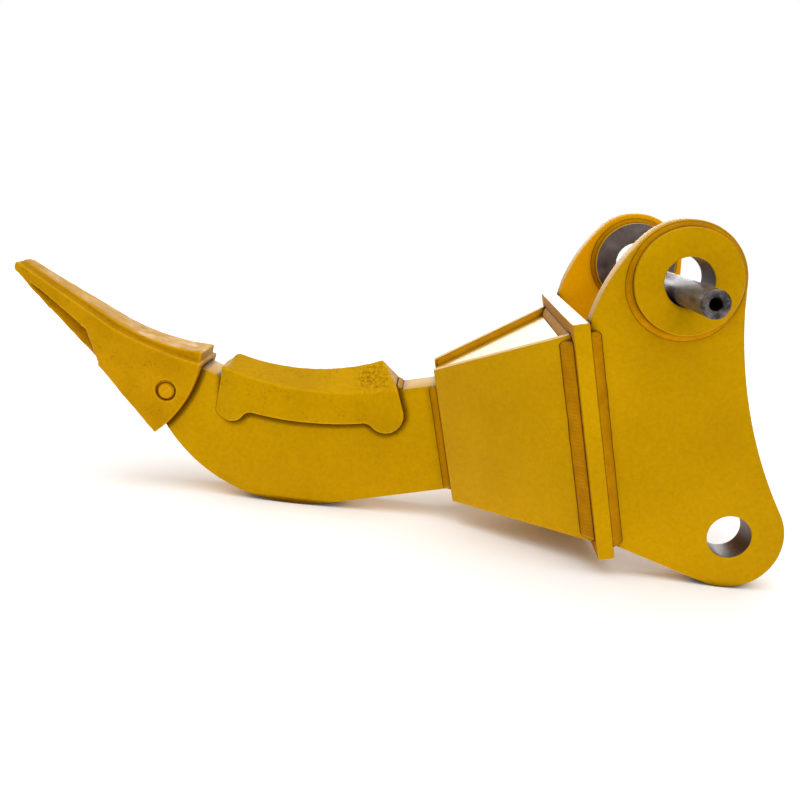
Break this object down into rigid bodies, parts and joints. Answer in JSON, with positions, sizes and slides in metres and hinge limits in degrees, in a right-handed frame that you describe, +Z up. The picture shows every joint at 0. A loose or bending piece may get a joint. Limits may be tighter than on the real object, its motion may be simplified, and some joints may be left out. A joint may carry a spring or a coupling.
{
  "type": "excavator ripper",
  "caption": "Single-shank ripper for an excavator: pinned tooth on a curved shank, welded box and flange plate, and two ears with pin bores.",
  "frame": {"origin": "on the ground under the middle of the whole object, which stands on its heel and its ears' lower ends", "axes": "+X from the tooth to the ears, +Y across towards the left ear along the pin bores, +Z up"},
  "size_m": [1.4342, 0.796, 0.6169],
  "materials": {
    "yellow_paint": "gloss enamel",
    "weld_paint": "gloss enamel over weld beads",
    "tooth_paint": "gloss enamel over cast steel",
    "guard_paint": "gloss enamel over cast steel",
    "pin_paint": "painted hammered steel",
    "boss_steel": "turned bare steel, darkened",
    "bar_steel": "dark rolled steel",
    "lock_rubber": "matt"
  },
  "bodies": {
    "root": {"arm_boss_inner_left": "boss_steel", "arm_boss_inner_right": "boss_steel", "arm_boss_outer_left": "yellow_paint", "arm_boss_outer_right": "yellow_paint", "bottom_cover_plate": "yellow_paint", "box_rib_left": "yellow_paint", "box_rib_right": "yellow_paint", "ear_plate_left": "yellow_paint", "ear_plate_right": "yellow_paint", "flange_plate": "yellow_paint", "link_boss_inner_left": "boss_steel", "link_boss_inner_right": "boss_steel", "shank": "yellow_paint", "shank_guard": "guard_paint", "side_plate_left": "yellow_paint", "side_plate_right": "yellow_paint", "tooth": "tooth_paint", "top_cover_plate": "yellow_paint", "weld_arm_boss_inner_left": "weld_paint", "weld_arm_boss_inner_right": "weld_paint", "weld_arm_boss_outer_left": "weld_paint", "weld_arm_boss_outer_right": "weld_paint", "weld_bottom_cover": "weld_paint", "weld_ear_inner_left": "weld_paint", "weld_ear_inner_right": "weld_paint", "weld_ear_outer_left": "weld_paint", "weld_ear_outer_right": "weld_paint", "weld_flange_left": "weld_paint", "weld_flange_right": "weld_paint", "weld_guard_rear": "weld_paint", "weld_link_boss_inner_left": "weld_paint", "weld_link_boss_inner_right": "weld_paint", "weld_shank_left": "weld_paint", "weld_shank_right": "weld_paint", "weld_top_cover": "weld_paint"},
    "bar": {"handling_bar": "bar_steel"},
    "pin": {"tooth_pin": "pin_paint", "pin_lock_band": "lock_rubber"}
  },
  "joints": [
    {"name": "handling_bar_slide", "type": "slide", "parent": "root", "child": "bar", "axis": [0, 1, 0], "range_m": [-0.14, 0.14]},
    {"name": "tooth_pin_drive", "type": "slide", "parent": "root", "child": "pin", "axis": [0, -1, 0], "range_m": [0, 0.125]}
  ]
}
